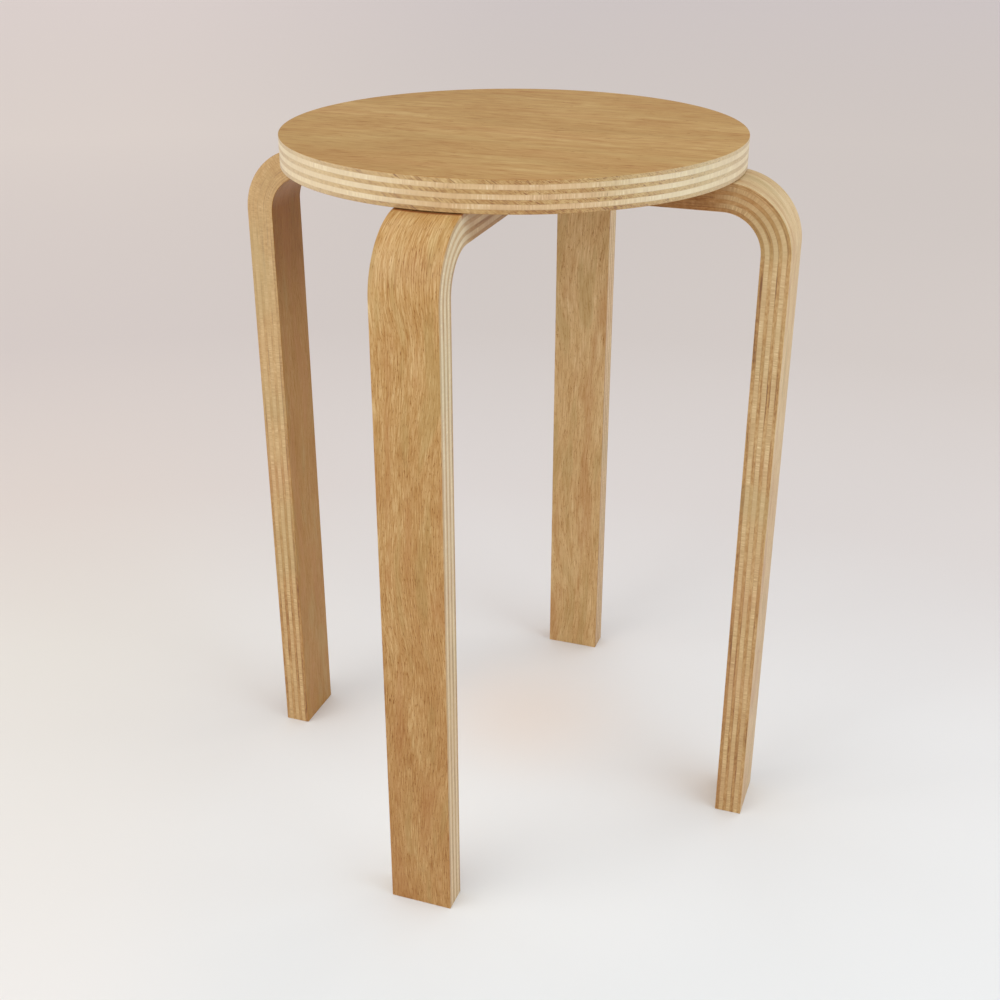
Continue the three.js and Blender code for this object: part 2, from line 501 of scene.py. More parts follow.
@dataclass(frozen=True)
class LegWearAndShade:
    """How the legs' finish changes from log to log, with height and beside the seat.

    The rim is the seat's radius, and the seat shadow reach is how far inside it the painted shade
    under the seat is full, in metres; there it holds back the sawn sides' paleness and a pale log's
    pale veneers. The sawn sides of a dark log fade upwards, and painted shade darkens its inner face
    under the seat. Painted shade darkens and warms the legs towards their feet, least on the inner
    face. Just below the seat painted shade darkens the sawn sides of pale and dark logs, least in the
    outermost veneer, and the outer face of a pale one. A painted shadow line runs where a leg meets
    the rim, fainter on a pale log. Gains that name a log are for one that is wholly pale or dark,
    and blends are in millimetres.
    """

    rim: float
    light_log: tuple[str, ...] = ("#af7f47", "#d4b079", "#e2c797", "#ecd8b0")
    dark_log: str = "#a36f0c"
    # Painted shade under the seat: where it is full, and how much it holds back the sawn sides' paleness
    # and a pale log's pale veneers.
    seat_shadow_reach: float = 0.015
    seat_shadow_lift: float = 0.75
    seat_shadow_pale: float = 1.1
    fade: Rise = Rise(1.5, 0.1, 0.42)
    faded_pale: float = 0.55
    # Painted shade: the legs grow darker and warmer towards their feet, least on the inner face.
    foot: Rise = Rise(1.0, 0.38, 0.0)
    foot_shade_tint: str = "#f1e7da"
    inner_blend: float = 1.0
    foot_shade_inner: float = 0.6
    foot_shade_light_log: float = 0.9
    foot_shade_bleach: float = 0.8
    # Painted shade on a dark log's inner face under the seat.
    inner_shade: Rise = Rise(1.6, 0.3, 0.4)
    inner_shade_tint: str = "#e6cf74"
    # Painted shade on the sawn sides just below the seat, least in the outermost veneer.
    age: Rise = Rise(1.4, 0.385, 0.43)
    sawn_shade_tint: str = "#e6d2ba"
    sawn_shade_dark_log: float = 0.5
    sawn_shade_pale: float = 0.4
    sawn_shade_outermost: float = 0.7
    outermost_blend: float = 0.5
    shade: Rise = Rise(1.3, 0.405, 0.425)
    shade_tint: str = "#f4f4f2"
    # A painted shadow line where a leg meets the seat's rim, fainter on a pale log.
    joint: Rise = Rise(1.0, 0.428, 0.4315)
    contact_shadow_end: Rise = Rise(1.0, 0.4325, 0.432)
    contact_shadow_width: float = 0.0016
    contact_shadow_tint: str = "#8a3c0a"
    contact_shadow_gain: float = 0.85
    joint_light_log: float = 1.1

    def seat_shadow(self, point: PlyPoint) -> Signal:
        """1 well under the seat and 0 outside its rim."""
        return point.shader.band(point.spot[0], self.rim, self.rim - self.seat_shadow_reach)

    def faded(self, point: PlyPoint) -> Signal:
        """How far the sawn veneers of a dark log have lost their contrast."""
        return self.fade.at(point) * point.log[1] * point.sawn

    def weaken(self, point: PlyPoint, pale: Signal) -> Signal:
        """Takes contrast from the pale veneers.

        Args:
            point: where.
            pale: 1 in pale veneers, 0 in dark ones.

        Returns:
            How much of the pale veneers' colour shows.
        """
        pale = pale + (self.faded_pale - pale) * self.faded(point)
        # Painted shade under the seat darkens a pale log's pale veneers.
        return pale * (1.0 - self.seat_shadow(point) * point.log[0] * self.seat_shadow_pale)

    def log_colour(self, point: PlyPoint, tone: Signal, colour: Signal) -> Signal:
        """Gives the faces the colour of their log.

        Args:
            point: where.
            tone: the veneer's tone.
            colour: its colour from a middling log.

        Returns:
            The veneer's colour.
        """
        pale_log, dark_log = point.log
        face = 1.0 - point.sawn
        colour = point.shader.blend(pale_log * face, colour, point.shader.scale(tone, self.light_log))
        return point.shader.blend(dark_log * face, colour, tint(self.dark_log))

    def paint_shade(self, point: PlyPoint, pale: Signal, colour: Signal) -> Signal:
        """Lays painted shade over a colour: towards the feet, under and just below the seat, and as a line
        where leg and seat meet.

        Args:
            point: where.
            pale: how much of the pale veneers' colour shows.
            colour: the wood's colour.

        Returns:
            The colour with its painted shade.
        """
        shader, sawn, middle = point.shader, point.sawn, point.middle
        pale_log, dark_log = point.log
        face = 1.0 - sawn
        inner = shader.band(point.depth, middle - self.inner_blend, middle + self.inner_blend) * face
        # Painted shade towards the feet.
        foot = self.foot.at(point) * (1.0 - inner * self.foot_shade_inner)
        foot = foot * (1.0 + pale_log * face * self.foot_shade_light_log + point.bleach * self.foot_shade_bleach)
        outermost = shader.band(point.depth, point.veneer, point.veneer - self.outermost_blend)
        # Painted shade on the sawn sides just below the seat.
        age = self.age.at(point) * (pale_log + dark_log * self.sawn_shade_dark_log) * sawn
        age = age * (1.0 - pale * self.sawn_shade_pale) * (1.0 - outermost * self.sawn_shade_outermost)
        # Each share multiplies painted shade into the colour.
        for share, code in (
            (foot, self.foot_shade_tint),
            (self.inner_shade.at(point) * inner * dark_log, self.inner_shade_tint),
            (age, self.sawn_shade_tint),
            (self.shade.at(point) * (face - inner) * pale_log, self.shade_tint),
        ):
            colour = shader.blend(share, colour, tint(code), "MULTIPLY")
        # Painted shadow line along the seat's rim.
        joint = shader.band(shader.maths("ABSOLUTE", point.spot[0] - self.rim), self.contact_shadow_width, 0.0)
        joint = joint * self.joint.at(point) * self.contact_shadow_end.at(point)
        share = joint * (self.contact_shadow_gain - pale_log * self.joint_light_log)
        return shader.blend(share, colour, tint(self.contact_shadow_tint))


@dataclass(frozen=True)
class Plywood:
    """Lacquered wood of seven veneers, dark and pale in turn.

    The grain attribute gives each point's place along and across the face's grain and its depth
    below the face, in metres, as the sheet was before it was bent. The bleach attribute tells
    how much the saw opened the fibres lengthwise there, which looks paler; on the seat's rim it is
    in part a painted sheen. The flitch attribute, which only the legs have, tells how pale, above
    0, or dark, below 0, the log was that the face veneer came from. Pale from and softness say
    where in the wave from veneer to veneer the colour changes, and the relief's shares are for the
    dark and the pale veneers' tones.
    """

    veneer: float
    grain: FaceGrain = FaceGrain()
    edge: SawnEdge = SawnEdge()
    tones: VeneerTones = VeneerTones()
    wear_and_shade: LegWearAndShade | None = None
    waver: Figure = Figure((0.035, 0.035, 0.0), 0.3)
    arris: tuple[float, float] = (0.02, 0.35)
    pale_from: float = 0.15
    softness: float = 0.12
    edge_roughness: float = 0.38
    face_roughness: float = 0.38
    gloss_spread: float = 0.1
    ior: float = 1.41
    relief: float = 0.00012
    relief_shares: tuple[float, float] = (0.7, 0.3)
    relief_strength: float = 0.35

    def material(self, name: str) -> bpy.types.Material:
        """Makes the material.

        Args:
            name: the material's name.

        Returns:
            The finished material.
        """
        shader = Shader(name)
        point = PlyPoint(shader, self.veneer * MILLIMETRES, self.waver, self.arris)
        face_tone, hue = self._face(point)
        pale_tone = self._pale_edge(point)
        tone = face_tone + (self._dark_edge(point) - face_tone) * point.sawn
        pale = shader.band(point.wave, self.pale_from + self.softness, self.pale_from - self.softness)
        if self.wear_and_shade is not None:
            pale = self.wear_and_shade.weaken(point, pale)
        dark_colour, pale_colour = self._veneer_colours(point, tone, pale_tone, hue)
        colour = self._seams(point, shader.blend(pale, dark_colour, pale_colour))
        colour = shader.blend(self._lift(point, pale), colour, tint(self.tones.opened))
        # Painted shade on the legs: towards the feet, under and just below the seat, and a shadow line at
        # the rim.
        if self.wear_and_shade is not None:
            colour = self.wear_and_shade.paint_shade(point, pale, colour)
        base = self.face_roughness + point.sawn * (self.edge_roughness - self.face_roughness)
        height = tone * self.relief_shares[0] + pale_tone * self.relief_shares[1]
        return shader.surface(
            Base_Color=colour,
            Roughness=base - (tone - 0.5) * self.gloss_spread,
            Ior=self.ior,
            Normal=shader.bump(height, self.relief, self.relief_strength),
        )

    def _veneer_colours(
        self, point: PlyPoint, tone: Signal, pale_tone: Signal, hue: Signal
    ) -> tuple[Signal, Signal]:
        """Colours of the dark and the pale veneers.

        Args:
            point: where.
            tone: the dark veneers' tone.
            pale_tone: the pale veneers' tone.
            hue: from golden, below 0, to reddish, above 0.

        Returns:
            The dark veneers' colour and the pale veneers' colour.
        """
        shader, tones = point.shader, self.tones
        dark, pale = shader.scale(tone, tones.dark), shader.scale(pale_tone, tones.pale)
        if self.wear_and_shade is not None:
            dark = self.wear_and_shade.log_colour(point, tone, dark)
        low, high = self.grain.hue_band
        red, gold = shader.band(hue, low, high), shader.band(hue, -low, -high)
        dark = shader.blend(red * self.grain.hue_gain, dark, tint(tones.red))
        dark = shader.blend(gold * self.grain.hue_gain, dark, tint(tones.gold))
        pale = shader.blend(red * tones.pale_red_gain, pale, tint(tones.pale_red))
        return dark, shader.blend(gold * tones.pale_gold_gain, pale, tint(tones.pale_gold))

    def _seams(self, point: PlyPoint, colour: Signal) -> Signal:
        """Draws in the glue lines between the sawn veneers, which fade with them.

        Args:
            point: where.
            colour: the wood's colour.

        Returns:
            The colour with the lines.
        """
        seam = 1.0 - point.shader.band(point.shader.maths("ABSOLUTE", point.wave), *self.tones.seam_band)
        share = seam * point.sawn * self.tones.seam_gain
        if self.wear_and_shade is not None:
            share = share * (1.0 - self.wear_and_shade.faded(point))
        return point.shader.blend(share, colour, tint(self.tones.seam))

    def _lift(self, point: PlyPoint, pale: Signal) -> Signal:
        """How much paler the saw left the veneers, which painted shade under the seat holds back; on the
        seat's rim this paleness is in part a painted sheen.

        Args:
            point: where.
            pale: how much of the pale veneers' colour shows.

        Returns:
            The share of the opened fibres' colour.
        """
        edge = self.edge
        dark = edge.opened_lift + point.bleach * (edge.bleached_dark_lift - edge.opened_lift)
        bleached = point.shader.band(point.bleach, 0.0, edge.bleached_from)
        light = edge.opened_lift + bleached * (edge.bleached_pale_lift - edge.opened_lift)
        lift = (dark + (light - dark) * pale) * point.sawn
        if self.wear_and_shade is None:
            return lift
        # Painted shade under the seat holds back the sawn sides' paleness.
        return lift * (1.0 - self.wear_and_shade.seat_shadow(point) * self.wear_and_shade.seat_shadow_lift)

    def _face(self, point: PlyPoint) -> tuple[Signal, Signal]:
        """Figure of the face veneer, where pores and lines run along the grain.

        The tone is the level with patches, streaks and lines added, and pores and flecks taken off.

        Args:
            point: where.

        Returns:
            The tone from 0, dark, to 1, pale, and the hue from -1, golden, to 1, reddish.
        """
        grain, shader = self.grain, point.shader
        flat = shader.join(point.along, point.across, point.depth)
        swayed = shader.join(point.along, point.across + grain.sway.at(flat), point.depth)
        streak = grain.streak.at(swayed) * (grain.streak_floor + grain.streak_shown.at(flat))
        tone = grain.level + grain.patch.at(flat) + streak + grain.line.at(swayed)
        fleck = grain.fleck.at(swayed) * grain.fleck_shown.at(flat)
        return tone - grain.pore.at(swayed) - fleck, grain.hue.at(swayed)

    def _dark_edge(self, point: PlyPoint) -> Signal:
        """Tone of a dark veneer where it is sawn: its pores run along the grain and dive a little.

        Args:
            point: where.

        Returns:
            The tone from 0, dark, to 1, pale.
        """
        edge, shader = self.edge, point.shader
        along = point.along + point.number * edge.dark_offset[0]
        across = point.across + point.number * edge.dark_offset[1]
        hatch = edge.hatch.at(shader.join(along, across, point.depth - point.along * edge.hatch_dive))
        level = shader.join(along, across, point.depth)
        innermost = shader.band(point.number, PLIES - 2.0, PLIES - 1.0)
        tone = edge.dark_level + hatch * edge.hatch_gain
        tone = tone - shader.band(hatch, *edge.cut_band) * edge.cut_gain - edge.line.at(level)
        tone = tone + edge.patch.at(level) + edge.mottle.at(level) - innermost * edge.innermost_drop
        calm = 1.0 - point.bleach * edge.bleach_calm
        return edge.bleached_level + (tone - edge.bleached_level) * calm

    def _pale_edge(self, point: PlyPoint) -> Signal:
        """Tone of a pale veneer where it is sawn: fine cracks cross it from one glue line to the next.

        Args:
            point: where.

        Returns:
            The tone from 0, dark, to 1, pale.
        """
        edge = self.edge
        along = point.along + point.number * edge.pale_offset[0]
        across = point.across + point.number * edge.pale_offset[1]
        place = point.shader.join(along, across, point.depth)
        tick = edge.tick.at(place) * (edge.tick_floor + edge.tick_shown.at(place))
        return edge.pale_level + tick + edge.pale_patch.at(place)


class Plate(Enum):
    """Colours of electroplated zinc: its darkest and its palest tone."""

    BLACK = ("#2b2c2f", "#4a4b4f")
    BRIGHT = ("#a9adb2", "#d3d6da")


@dataclass(frozen=True)
class ZincPlate:
    """Electroplated steel, a little cloudy, with fine scratches that run level.

    Each pair of gains is for the clouds and the scratches, and the tone places say at which tones
    the darkest and the palest colour stand.
    """

    plate: Plate
    roughness: float
    cloud: Figure = Figure((0.7, 0.7, 0.7), 1.0, 3.0)
    scratch: Figure = Figure((3.0, 3.0, 14.0), 1.0, 3.0, 0.65)
    tone_gains: tuple[float, float] = (0.6, 0.3)
    tone_places: tuple[float, float] = (0.2, 0.9)
    matt_gains: tuple[float, float] = (0.12, 0.05)
    relief: float = 0.00003
    relief_strength: float = 0.3

    def material(self, name: str) -> bpy.types.Material:
        """Makes the material.

        Args:
            name: the material's name.

        Returns:
            The finished material.
        """
        shader = Shader(name)
        place = shader.node("ShaderNodeTexCoord", output="Object") * MILLIMETRES
        cloud, scratch = self.cloud.at(place), self.scratch.at(place)
        tone = 0.5 + cloud * self.tone_gains[0] + scratch * self.tone_gains[1]
        colours = [tint(code) for code in self.plate.value]
        return shader.surface(
            Base_Color=shader.ramp(tone, list(zip(self.tone_places, colours, strict=True))),
            Metallic=1.0,
            Roughness=self.roughness + cloud * self.matt_gains[0] + scratch * self.matt_gains[1],
            Normal=shader.bump(scratch, self.relief, self.relief_strength),
        )


# Meshes from grids of points


def quads(rows: int, columns: int, closed: bool) -> NDArray[np.int64]:
    """Faces between the neighbouring points of a grid whose columns close on themselves.

    Each face runs along its row, up to the next row and back, so it faces outwards where the
    columns run anticlockwise seen from the last row.

    Args:
        rows: how many rows the grid has.
        columns: how many points each row has.
        closed: whether the last row joins the first.

    Returns:
        Four point numbers for each face.
    """
    row = np.arange(rows if closed else rows - 1)[:, None]
    column = np.arange(columns)[None, :]
    above, beside = (row + 1) % rows, (column + 1) % columns
    here, up = row * columns, above * columns
    corners = (here + column, here + beside, up + beside, up + column)
    return np.stack(np.broadcast_arrays(*corners), axis=-1).reshape(-1, 4)


def skin(
    name: str, rings: Points, poles: tuple[Sequence[float], Sequence[float]] | None
) -> bpy.types.Mesh:
    """Makes a closed mesh of rings of points.

    Args:
        name: the mesh's name.
        rings: rows by columns by three coordinates.
        poles: the points that close the first and last ring, or none where those two rings join.

    Returns:
        The mesh.
    """
    rows, columns = rings.shape[:2]
    vertices = rings.reshape(-1, 3)
    faces = quads(rows, columns, poles is None).tolist()
    if poles is not None:
        first, last = rows * columns, rows * columns + 1
        vertices = np.vstack([vertices, poles])
        here = np.arange(columns)
        beside = (here + 1) % columns
        top = (rows - 1) * columns
        faces += np.stack([np.full(columns, first), beside, here], axis=-1).tolist()
        faces += np.stack([np.full(columns, last), top + here, top + beside], axis=-1).tolist()
    mesh = bpy.data.meshes.new(name)
    mesh.from_pydata(vertices.tolist(), [], faces)
    return mesh


def revolved(
    name: str, radii: Points, heights: Points, poles: tuple[float, float] | None
) -> bpy.types.Mesh:
    """Makes a mesh of revolution about Z, whose radius may also change round a ring.

    A point of row i and column j lies at (r cos a, r sin a, h), with a the share of a turn that
    j makes, r its radius and h the row's height.

    Args:
        name: the mesh's name.
        radii: rows by columns of radii.
        heights: one height for each row.
        poles: heights at which the first and last ring close on the axis, or none.

    Returns:
        The mesh.
    """
    angles = 2 * math.pi * np.arange(radii.shape[1]) / radii.shape[1]
    levels = np.broadcast_to(heights[:, None], radii.shape)
    rings = np.stack([radii * np.cos(angles), radii * np.sin(angles), levels], axis=-1)
    ends = None if poles is None else ((0.0, 0.0, poles[0]), (0.0, 0.0, poles[1]))
    return skin(name, rings, ends)


def triples(items: Any, name: str) -> Points:
    """Reads three numbers from each of a mesh's items.

    Args:
        items: the mesh's vertices, its vertex normals or an attribute's data.
        name: what is read from each, such as co.

    Returns:
        A row of three for each item.
    """
    flat = np.empty(len(items) * 3)
    items.foreach_get(name, flat)
    return flat.reshape(-1, 3)


def placed(
    mesh: bpy.types.Mesh, name: str, shift: Sequence[float], quarter_turns: int
) -> bpy.types.Mesh:
    """Copies a mesh, shifts it and then turns it about the stool's axis.

    Args:
        mesh: the mesh to copy.
        name: the copy's name.
        shift: how far it moves before it turns.
        quarter_turns: how many quarter turns it makes, anticlockwise from above.

    Returns:
        The copy.
    """
    copy = mesh.copy()
    copy.name = name
    cosine, sine = ((1, 0), (0, 1), (-1, 0), (0, -1))[quarter_turns % 4]
    turn = np.array([[cosine, sine, 0], [-sine, cosine, 0], [0, 0, 1]])
    copy.vertices.foreach_set("co", ((triples(mesh.vertices, "co") + shift) @ turn).ravel())
    copy.update()
    return copy


def cut_out(mesh: bpy.types.Mesh, cutters: Iterable[bpy.types.Mesh]) -> bpy.types.Mesh:
    """Cuts closed meshes out of a mesh.

    Args:
        mesh: the mesh to cut.
        cutters: the meshes that are taken away.

    Returns:
        A new mesh.
    """
    body = bpy.data.objects.new("body", mesh)
    tools = [bpy.data.objects.new("cutter", cutter) for cutter in cutters]
    for thing in [body, *tools]:
        bpy.context.scene.collection.objects.link(thing)
    for tool in tools:
        modifier = body.modifiers.new("cut", "BOOLEAN")
        modifier.operation = "DIFFERENCE"
        modifier.solver = "EXACT"
        modifier.object = tool
    graph = bpy.context.evaluated_depsgraph_get()
    result = bpy.data.meshes.new_from_object(body.evaluated_get(graph))
    for thing in [body, *tools]:
        bpy.data.objects.remove(thing)
    result.materials.clear()
    return result


def finished(
    name: str, mesh: bpy.types.Mesh, material: bpy.types.Material, node: str, sharp: float
) -> bpy.types.Object:
    """Shades a mesh and puts it in the scene in place of a CAD node.

    Args:
        name: the piece's name.
        mesh: its mesh, in place.
        material: its finish.
        node: the CAD node that it stands for.
        sharp: the angle in degrees past which an edge stays sharp.

    Returns:
        The piece.
    """
    mesh.polygons.foreach_set("use_smooth", np.ones(len(mesh.polygons), dtype=bool))
    mesh.set_sharp_from_angle(angle=math.radians(sharp))
    mesh.materials.append(material)
    piece = bpy.data.objects.new(name, mesh)
    bpy.context.scene.collection.objects.link(piece)
    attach(piece, BODY)
    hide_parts(node)
    log.info("%s: %d faces, for %s", name, len(mesh.polygons), node)
    return piece


def set_grain(mesh: bpy.types.Mesh, place: Points, bleach: Points) -> None:
    """Writes the attributes that every plywood finish reads.

    Args:
        mesh: the mesh that gets them.
        place: each vertex's place along the grain, across it and below the face, in metres.
        bleach: how much paler the saw leaves it, from 0 to 1, which on the seat's rim is in part a painted
            sheen.
    """
    mesh.attributes.new(GRAIN, "FLOAT_VECTOR", "POINT").data.foreach_set("vector", place.ravel())
    mesh.attributes.new(BLEACH, "FLOAT", "POINT").data.foreach_set("value", bleach)


# The stool's sub-assemblies


@dataclass
class SeatPanel:
    """The round seat: its rim is square, with both edges eased, and bores open in its underside.

    The fibres of its face veneer run at the fibre turn from +X, and the saw opened those that it
    crossed: how far is the square of the cosine between the surface's normal and the fibres.
    Bleach starts at one value of that and is full a range above it. The fibre turn lies square to
    the camera's bearing, so the rim grows paler the further it turns from the camera, which makes
    this paleness in part a painted sheen.
    """

    radius: float
    top: float
    underside: float
    bores: list[tuple[float, float]]
    bore_radius: float = 0.0051
    bore_depth: float = 0.0139
    edge_radius: float = 0.0003
    ease_steps: int = 4
    columns: int = 288
    bore_columns: int = 32
    support: float = 0.0002
    fibre_turn: float = math.radians(19)
    opened_from: float = 0.03
    opened_range: float = 0.6

    @property
    def veneer(self) -> float:
        """Thickness of one veneer."""
        return (self.top - self.underside) / PLIES

    def profile(self) -> Points:
        """Half section from the underside to the top, as radius and height.

        Each edge is a quarter round of the edge radius, and a narrow flat strip on both sides of
        it keeps the shading of the large faces level.

        Returns:
            Rows of radius and height.
        """
        turn = np.linspace(0, QUARTER_TURN, self.ease_steps + 1)
        flat = self.radius - self.edge_radius
        rise, sweep = self.edge_radius * np.sin(turn), self.edge_radius * np.cos(turn)
        lower = np.stack([flat + rise, self.underside + self.edge_radius - sweep], axis=-1)
        upper = np.stack([flat + sweep, self.top - self.edge_radius + rise], axis=-1)
        under = [[flat - self.support, self.underside]]
        wall = [
            [self.radius, self.underside + self.edge_radius + self.support],
            [self.radius, self.top - self.edge_radius - self.support],
        ]
        over = [[flat - self.support, self.top]]
        return np.vstack([under, lower, wall, upper, over])

    def mesh(self) -> bpy.types.Mesh:
        """The seat: its profile swept through a whole turn, less a cylinder for each bore.

        Returns:
            The mesh.
        """
        profile = self.profile()
        radii = np.repeat(profile[:, :1], self.columns, axis=1)
        disc = revolved("seat_panel", radii, profile[:, 1], (self.underside, self.top))
        heights = np.array([self.underside - self.bore_depth, self.underside + self.bore_depth])
        radii = np.full((2, self.bore_columns), self.bore_radius)
        drill = revolved("drill", radii, heights, (heights[0], heights[1]))
        cutters = [placed(drill, "drill", (x, y, 0), 0) for x, y in self.bores]
        return cut_out(disc, cutters)

    def dress(self, finish: Plywood) -> bpy.types.Object:
        """Makes the seat and gives it its finish.

        Args:
            finish: the seat's plywood.

        Returns:
            The piece.
        """
        mesh = self.mesh()
        place = triples(mesh.vertices, "co")
        fibres = np.array([math.cos(self.fibre_turn), math.sin(self.fibre_turn), 0])
        # In part a painted sheen: with the fibres square to the camera's bearing, the rim pales as it
        # turns from the camera.
        opened = (triples(mesh.vertex_normals, "vector") @ fibres) ** 2
        bleach = np.clip((opened - self.opened_from) / self.opened_range, 0, 1)
        depth = self.top - place[:, 2]
        set_grain(mesh, np.stack([place[:, 0], place[:, 1], depth], axis=-1), bleach)
        slot = "seat_plywood"
        return finished("seat", mesh, finish.material(slot), "seat_panel", WOOD_CREASE)


@dataclass(frozen=True)
class LegWood:
    """How a leg's wood differs from the other legs'.

    The flitch tells how pale, above 0, or dark, below 0, its face veneers' log was, and the
    sanding how much paler its sawn sides are, from 0 to 1.
    """

    flitch: float
    sanding: float


@dataclass
class BentLeg:
    """A leg of one bent strip of plywood: post, quarter bend and arm, sawn to width.

    Each leg's grain lies a stretch further on in the veneer than that of the leg before it. A face
    is taken to be at the strip's end where its normal leans less than the end lean to the side.
    """

    outer_reach: float
    end_reach: float
    top: float
    width: float
    hole_reaches: list[float]
    thickness: float = 0.0175
    inner_bend: float = 0.0239
    edge_radius: float = 0.0003
    end_radius: float = 0.0003
    hole_radius: float = 0.0033
    countersink_radius: float = 0.0069
    ease_steps: int = 4
    bend_steps: int = 72
    straight_steps: int = 12
    hole_columns: int = 48
    support: float = 0.0002
    end_lean: float = 0.5
    stretch: tuple[float, float, float] = (0.81, 0.29, 0.0)

    @property
    def bend_reach(self) -> float:
        """How far the bend's centre lies from the stool's axis."""
        return self.outer_reach - self.thickness - self.inner_bend

    @property
    def bend_height(self) -> float:
        """How high the bend's centre lies."""
        return self.top - self.thickness - self.inner_bend

    @property
    def middle_bend(self) -> float:
        """Radius of the bend halfway through the thickness."""
        return self.inner_bend + self.thickness / 2

    @property
    def length(self) -> float:
        """Length of the strip along its middle."""
        return self.bend_height + self.middle_bend * QUARTER_TURN + self.bend_reach - self.end_reach

    def path(self, along: Points) -> tuple[Points, Points]:
        """The strip's middle line and the way its outer face looks.

        Below the bend the line rises straight, in the bend it turns about the bend's centre by
        its length over the middle radius, and past the bend it runs level towards the axis.

        Args:
            along: distances from the foot.

        Returns:
            Points on the line, and unit vectors out of the outer face.
        """
        turn = np.clip((along - self.bend_height) / self.middle_bend, 0, QUARTER_TURN)
        post = np.minimum(along - self.bend_height, 0)
        arm = np.maximum(along - self.bend_height - self.middle_bend * QUARTER_TURN, 0)
        outward = np.stack([np.cos(turn), 0 * turn, np.sin(turn)], axis=-1)
        centre = np.stack([self.bend_reach - arm, 0 * turn, self.bend_height + post], axis=-1)
        return centre + self.middle_bend * outward, outward

    def section(self, inset: Points, shrink: Points) -> Points:
        """Rounded rectangles of the strip's thickness by its width, one for each row.

        Each corner is a quarter circle about a fixed centre with a narrow flat strip on both
        sides. An inset makes all four circles smaller, which moves every face inwards alike.

        Args:
            inset: how much smaller the corner circles are, for each row.
            shrink: how far the corner centres also move inwards, for each row.

        Returns:
            Rows by corners' points by two: outward and sideways offsets from the middle line.
        """
        turn = QUARTER_TURN * np.linspace(0, 1, self.ease_steps + 1)
        start = QUARTER_TURN * np.arange(4)[:, None]
        angle = np.concatenate([start, start + turn, start + QUARTER_TURN], axis=1)
        slide = np.zeros_like(angle)
        slide[:, 0], slide[:, -1] = -self.support, self.support
        signs = np.array([[1, 1], [-1, 1], [-1, -1], [1, -1]])
        half = np.array([self.thickness / 2, self.width / 2]) - self.edge_radius
        centre = signs[None] * (half - shrink[:, None, None])
        radius = (self.edge_radius - inset)[:, None, None]
        outward = centre[:, :, :1] + radius * np.cos(angle) - slide * np.sin(angle)
        sideways = centre[:, :, 1:] + radius * np.sin(angle) + slide * np.cos(angle)
        return np.stack([outward, sideways], axis=-1).reshape(len(inset), -1, 2)

    def stations(self) -> tuple[Points, Points, Points]:
        """Where the rings lie, and how the strip's ends are eased.

        At an end the rings follow a quarter circle of the end radius: with t its angle, they lie
        r (1 - sin t) from the end with an inset of r (1 - cos t). A last ring on the flat end
        lies a little further in.

        Returns:
            Distance along the strip, inset and shrink of each ring.
        """
        turn = np.linspace(QUARTER_TURN, 0, self.ease_steps + 1)
        ease = self.end_radius * (1 - np.sin(turn))
        inset = self.end_radius * (1 - np.cos(turn))
        bend_end = self.bend_height + self.middle_bend * QUARTER_TURN
        first, last = self.end_radius + self.support, self.length - self.end_radius - self.support
        post = np.linspace(first, self.bend_height - self.support, self.straight_steps)
        bend = np.linspace(self.bend_height, bend_end, self.bend_steps + 1)
        arm = np.linspace(bend_end + self.support, last, self.straight_steps)
        middle = np.concatenate([post, bend, arm])
        along = np.concatenate([[0], ease, middle, self.length - ease[::-1], [self.length]])
        insets = np.concatenate([inset[:1], inset, 0 * middle, inset[::-1], inset[:1]])
        shrink = np.zeros_like(along)
        shrink[[0, -1]] = self.support
        return along, insets, shrink

    def blank(self) -> bpy.types.Mesh:
        """The bent strip before it is drilled: its section carried along its path.

        Returns:
            The mesh.
        """
        along, inset, shrink = self.stations()
        middle, outward = self.path(along)
        section = self.section(inset, shrink)
        rings = middle[:, None] + section[:, :, :1] * outward[:, None]
        rings[:, :, 1] += section[:, :, 1]
        return skin("leg", rings, (middle[0], middle[-1]))

    def drill(self, reach: float) -> bpy.types.Mesh:
        """The shape of a hole: a cylinder with a countersink at the arm's lower face.

        Args:
            reach: how far the hole lies from the stool's axis.

        Returns:
            The cutter.
        """
        lower, spare = self.top - self.thickness, self.hole_radius
        wide = self.countersink_radius
        radii = np.array([wide + spare, self.hole_radius, self.hole_radius])
        heights = np.array([lower - spare, lower + wide - self.hole_radius, self.top + spare])
        radii = np.repeat(radii[:, None], self.hole_columns, axis=1)
        cutter = revolved("drill", radii, heights, (heights[0], heights[-1]))
        return placed(cutter, "drill", (reach, 0, 0), 0)

    def unbend(self, place: Points) -> tuple[Points, Points]:
        """Where points of the leg lay in the flat strip.

        It undoes the path: a point's angle about the bend's centre times the middle radius is
        its length in the bend, and its distance from the outer face is its depth.

        Args:
            place: points of the leg along +X.

        Returns:
            Distances along the strip and depths below its outer face.
        """
        out, up = place[:, 0] - self.bend_reach, place[:, 2] - self.bend_height
        outer = self.thickness + self.inner_bend
        turn = np.clip(np.arctan2(np.maximum(up, 0), np.maximum(out, 0)), 0, QUARTER_TURN)
        on_post, on_arm = up <= 0, (up > 0) & (out <= 0)
        turn = np.where(on_post, 0, np.where(on_arm, QUARTER_TURN, turn))
        along = self.bend_height + turn * self.middle_bend
        along += np.where(on_post, up, 0) - np.where(on_arm, out, 0)
        distance = np.where(on_post, out, np.where(on_arm, up, np.hypot(out, up)))
        return along, outer - distance

